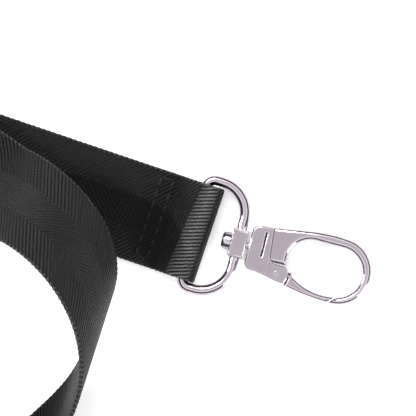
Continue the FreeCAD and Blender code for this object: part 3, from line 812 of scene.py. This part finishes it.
def make_hook_casting(end, place):
    """The cast hook: a rounded arm, a block with a slit and a fork for the gate. A dark plate in
    the slit is painted shade.
    """
    floor_thick = ARM_THICK + SLIT_FLOOR_RISE
    cheek_thick = (BLOCK_THICK - GATE_SLOT) / 2
    plates = [
        ("arm", [ARM_OUTLINE], ARM_THICK, ARM_ROUND, NICKEL_CAST, 0.0),
        ("block", [BLOCK_OUTLINE, SLIT_OUTLINE], BLOCK_THICK, BLOCK_ROUND, NICKEL_CAST, 0.0),
        # A dark plate at the bottom of the slit: painted shade.
        ("slit_shade_floor", [SLIT_FLOOR_OUTLINE], floor_thick, SLIT_FLOOR_ROUND, SLIT_SHADE, 0.0),
    ]
    for side in (-1, 1):
        lift = side * (GATE_SLOT / 2 + cheek_thick / 2 - CHEEK_LAP)
        plates.append(("cheek", [CHEEK_OUTLINE], cheek_thick, CHEEK_ROUND, NICKEL_CAST, lift))
    pieces = []
    for name, outlines, thick, rounding, material, lift in plates:
        pieces.append(rounded_plate(name, outlines, thick, rounding, place, material, lift))
    casting = join(pieces, f"hook_casting_{end}")
    stand_for(casting, f"hook_{end}_body", "nickel_cast", f"hook_body_{end}")


def make_gate(end, place):
    """The push gate: its bar, the ear that turns on the pin and the neck between them."""
    ear_lift = -GATE_SLOT / 2 + EAR_GAP + EAR_THICK / 2
    x, y = PIN_AT
    r = EAR_RADIUS
    ear = [(x + r, y), (x, y + r, x - r, y), (x, y - r, x + r, y)]
    plates = [
        ("gate_bar", GATE_OUTLINE, GATE_THICK, GATE_ROUND, 0.0),
        ("gate_neck", EAR_NECK_OUTLINE, EAR_THICK, NECK_ROUND, ear_lift),
        ("gate_ear", ear, EAR_THICK, EAR_ROUND, ear_lift - EAR_LAP),
    ]
    pieces = []
    for name, outline, thick, rounding, lift in plates:
        pieces.append(rounded_plate(name, [outline], thick, rounding, place, NICKEL_CAST, lift))
    gate = join(pieces, f"push_gate_{end}")
    stand_for(gate, f"gate_{end}_body", "nickel_cast", f"gate_{end}")


def make_pin(end, place):
    """The gate pin, a turned rod with a low dome at each end."""
    half = BLOCK_THICK / 2
    radius = PIN_DIAMETER / 2
    flat = PIN_DOME_FLAT
    upright = Matrix(((0, 0, -1, PIN_AT[0]), (0, 1, 0, PIN_AT[1]), (1, 0, 0, 0), (0, 0, 0, 1)))
    dome = [(half - PIN_DOME, radius)]
    for angle in np.radians([30, 60, 90]):
        x = half - PIN_DOME + PIN_DOME * math.sin(angle)
        dome.append((x, radius * (flat + (1 - flat) * math.cos(angle))))
    dome.append((half, 0.0))
    profile = [(-x, r) for x, r in reversed(dome)] + dome
    pin = revolve(f"hinge_pin_{end}", profile, place @ upright, STEEL_RIVET, 32)
    stand_for(pin, f"hook_{end}_body", "steel_rivet", f"gate_pin_{end}")


def make_spring(end, place):
    """The gate spring: a coil round the pin with two straight legs."""
    base = place @ Matrix.Translation((*PIN_AT, SPRING_LIFT))
    r = SPRING_RADIUS
    path = [(r, -SPRING_LEG, 0)]
    for index in range(int(SPRING_TURNS * SPRING_STEPS) + 1):
        angle = 2 * math.pi * index / SPRING_STEPS
        rise = SPRING_PITCH * index / SPRING_STEPS
        path.append((r * math.cos(angle), r * math.sin(angle), rise))
    path.append((r, SPRING_LEG, path[-1][2]))
    spring = rod(f"torsion_spring_{end}", path, SPRING_WIRE / 2, base, SPRING_STEEL, sides=4)
    stand_for(spring, f"hook_{end}_body", "spring_steel", f"gate_spring_{end}")


# ------------------------------------------------------------------ thread and leash ring


def make_stitching(end, place):
    """Two rows of lock stitches across the sewn end, each stitch a sunk bead of thread."""
    top = 2 * WEB_THICK + LAYER_GAP
    first_row = STITCH_INSET - TAIL_LENGTH / 2
    rows = (first_row, first_row + STITCH_ROW_GAP)
    stitches = []
    for row in rows:
        for index in range(-STITCHES_EACH_SIDE, STITCHES_EACH_SIDE + 1):
            stitches.append(((row, index * STITCH_PITCH), True))
    for side in (-1, 1):
        stitches.append(((sum(rows) / 2, side * STITCH_SIDE_AT), False))
    pieces = []
    for (x, y), across in stitches:
        path = []
        for share in np.linspace(-1, 1, STITCH_POINTS):
            shift = share * STITCH_LENGTH / 2
            where = (x, y + shift) if across else (x + shift, y)
            path.append((*where, top + STITCH_RISE - STITCH_SINK * share * share))
        pieces.append(rod("stitch", path, THREAD_RADIUS, place, THREAD, sides=3))
    thread = join(pieces, f"thread_{end}")
    stand_for(thread, "strap", "thread", f"stitching_{end}")


def make_leash_ring():
    """A D-ring of round wire, its straight bar in the fold of the strap."""
    corner, half = RING_CORNER, RING_HALF_SPAN
    bulge = corner * (1 - math.sqrt(0.5))
    path = outline_points([
        (0, 0), (0, half - corner), (bulge, half - bulge, corner, half),
        (corner + half, 0, corner, -half), (bulge, bulge - half, 0, corner - half), (0, 0),
    ], 40)
    path = [(x, y, 0) for x, y in path]
    ring = rod("leash_d_ring", path, RING_WIRE / 2, ring_place(), NICKEL_WIRE, closed=True)
    stand_for(ring, "leash_ring_body", "nickel_wire", "leash_ring")


for end, end_place in end_places().items():
    make_stitching(end, end_place)
    place = hook_place(end_place)
    make_bow(end, place)
    make_collar(end, place)
    make_rivet(end, place)
    make_hook_casting(end, place)
    make_gate(end, place)
    make_pin(end, place)
    make_spring(end, place)
make_leash_ring()


# ------------------------------------------------------------------ floor, camera, light


FLOOR_HALF = 2.0
FLOOR_DROP = 0.0002
VIEW_CENTRE = (7.85, 6.84)
VIEW_WIDTH = 106.67
VIEW_TURN = -18.7
CAMERA_HEIGHT = 1.2
CAMERA_SENSOR = 36.0

# The sky's brightness by height above the horizon, 0 level and 1 straight up.
SKY_DARK = (0.1, (0.04, 0.035, 0.04))
SKY_ZENITH = (1.0, (0.72, 0.69, 0.72))
SKY_LEVELS = ((0.58, 0.06), (0.7, 0.9), (0.85, 1.35), (0.965, 0.95))
SKY_GREEN = 0.98

# Each lamp: where it stands right, up and above the middle of the view, its size in metres
# and its power in watts.
LAMPS = {
    "key_top": ((-0.15, 0.5, 0.75), (0.5, 0.3), 4.0),
    "low_left": ((-0.85, 0.2, 0.16), (0.25, 0.5), 6.0),
    "low_right": ((0.7, -0.55, 0.2), (0.4, 0.3), 8.0),
}
FOLD_SPOT_AIM = (3.0, 0.0, 5.0)
FOLD_SPOT_RISE = 35
FOLD_SPOT_AWAY = 0.8
FOLD_SPOT_POWER = 160.0
FOLD_SPOT_CONE = 2.6
FOLD_SPOT_BLEND = 0.6
FOLD_SPOT_RADIUS = 0.04


def make_floor():
    size = FLOOR_HALF
    corners = [(-size, -size), (size, -size), (size, size), (-size, size)]
    mesh = bpy.data.meshes.new("floor")
    mesh.from_pydata([(x, y, -FLOOR_DROP) for x, y in corners], [], [(0, 1, 2, 3)])
    material, _, _, shader = new_material("floor_white", (0.93, 0.93, 0.93), 0.0, 0.9)
    shader.inputs["Specular IOR Level"].default_value = 0.1
    shader.inputs["Emission Color"].default_value = (1.0, 1.0, 1.0, 1.0)
    shader.inputs["Emission Strength"].default_value = 0.35
    mesh.materials.append(material)
    floor = bpy.data.objects.new("floor", mesh)
    scene.collection.objects.link(floor)


def make_camera():
    """A long lens straight above the hook, turned so that the strap runs down to the right."""
    data = bpy.data.cameras.new("camera")
    data.sensor_width = CAMERA_SENSOR
    data.lens = CAMERA_SENSOR * CAMERA_HEIGHT / (VIEW_WIDTH * MM)
    data.dof.use_dof = False
    data.clip_start, data.clip_end = 0.01, 20.0
    camera = bpy.data.objects.new("camera", data)
    camera.location = (VIEW_CENTRE[0] * MM, VIEW_CENTRE[1] * MM, CAMERA_HEIGHT)
    camera.rotation_euler = (0, 0, math.radians(-VIEW_TURN))
    scene.collection.objects.link(camera)
    scene.camera = camera


def point_in_view(right, up, height):
    """A point by its distance right, up and above the middle of the view, in metres."""
    turn = math.radians(-VIEW_TURN)
    x = VIEW_CENTRE[0] * MM + right * math.cos(turn) - up * math.sin(turn)
    y = VIEW_CENTRE[1] * MM + right * math.sin(turn) + up * math.cos(turn)
    return Vector((x, y, height))


def place_lamp(name, data, where, ahead):
    lamp = bpy.data.objects.new(name, data)
    lamp.location = where
    lamp.rotation_mode = "QUATERNION"
    lamp.rotation_quaternion = ahead.to_track_quat("-Z", "Y")
    scene.collection.objects.link(lamp)


def make_area_lamps():
    target = point_in_view(0, 0, 0)
    for name, (offset, size, power) in LAMPS.items():
        data = bpy.data.lights.new(name, "AREA")
        data.shape = "RECTANGLE"
        data.size, data.size_y = size
        data.energy = power
        where = point_in_view(*offset)
        place_lamp(name, data, where, target - where)


def make_fold_spot():
    """A narrow lamp from behind the strap that brings out the ribs over the bow."""
    data = bpy.data.lights.new("fold_spot", "SPOT")
    data.energy = FOLD_SPOT_POWER
    data.spot_size = math.radians(FOLD_SPOT_CONE)
    data.spot_blend = FOLD_SPOT_BLEND
    data.shadow_soft_size = FOLD_SPOT_RADIUS
    rise = math.radians(FOLD_SPOT_RISE)
    away = Vector((-math.cos(rise), 0.0, math.sin(rise)))
    where = Vector(FOLD_SPOT_AIM) * MM + away * FOLD_SPOT_AWAY
    place_lamp("fold_spot", data, where, -away)


def make_sky():
    """A soft sky, dark at the horizon, so that the rims of the metal stand out."""
    world = bpy.data.worlds.new("studio")
    scene.world = world
    world.use_nodes = True
    nodes, links = world.node_tree.nodes, world.node_tree.links
    split = nodes.new("ShaderNodeSeparateXYZ")
    links.new(nodes.new("ShaderNodeTexCoord").outputs["Generated"], split.inputs["Vector"])
    ramp = nodes.new("ShaderNodeValToRGB")
    for element, (position, colour) in zip(ramp.color_ramp.elements, (SKY_DARK, SKY_ZENITH)):
        element.position = position
        element.color = (*colour, 1.0)
    for position, level in SKY_LEVELS:
        ramp.color_ramp.elements.new(position).color = (level, level * SKY_GREEN, level, 1.0)
    links.new(split.outputs["Z"], ramp.inputs["Fac"])
    background = nodes["Background"]
    links.new(ramp.outputs["Color"], background.inputs["Color"])
    background.inputs["Strength"].default_value = 1.0


make_floor()
make_camera()
make_sky()
make_area_lamps()
make_fold_spot()
scene.view_settings.view_transform = "Standard"
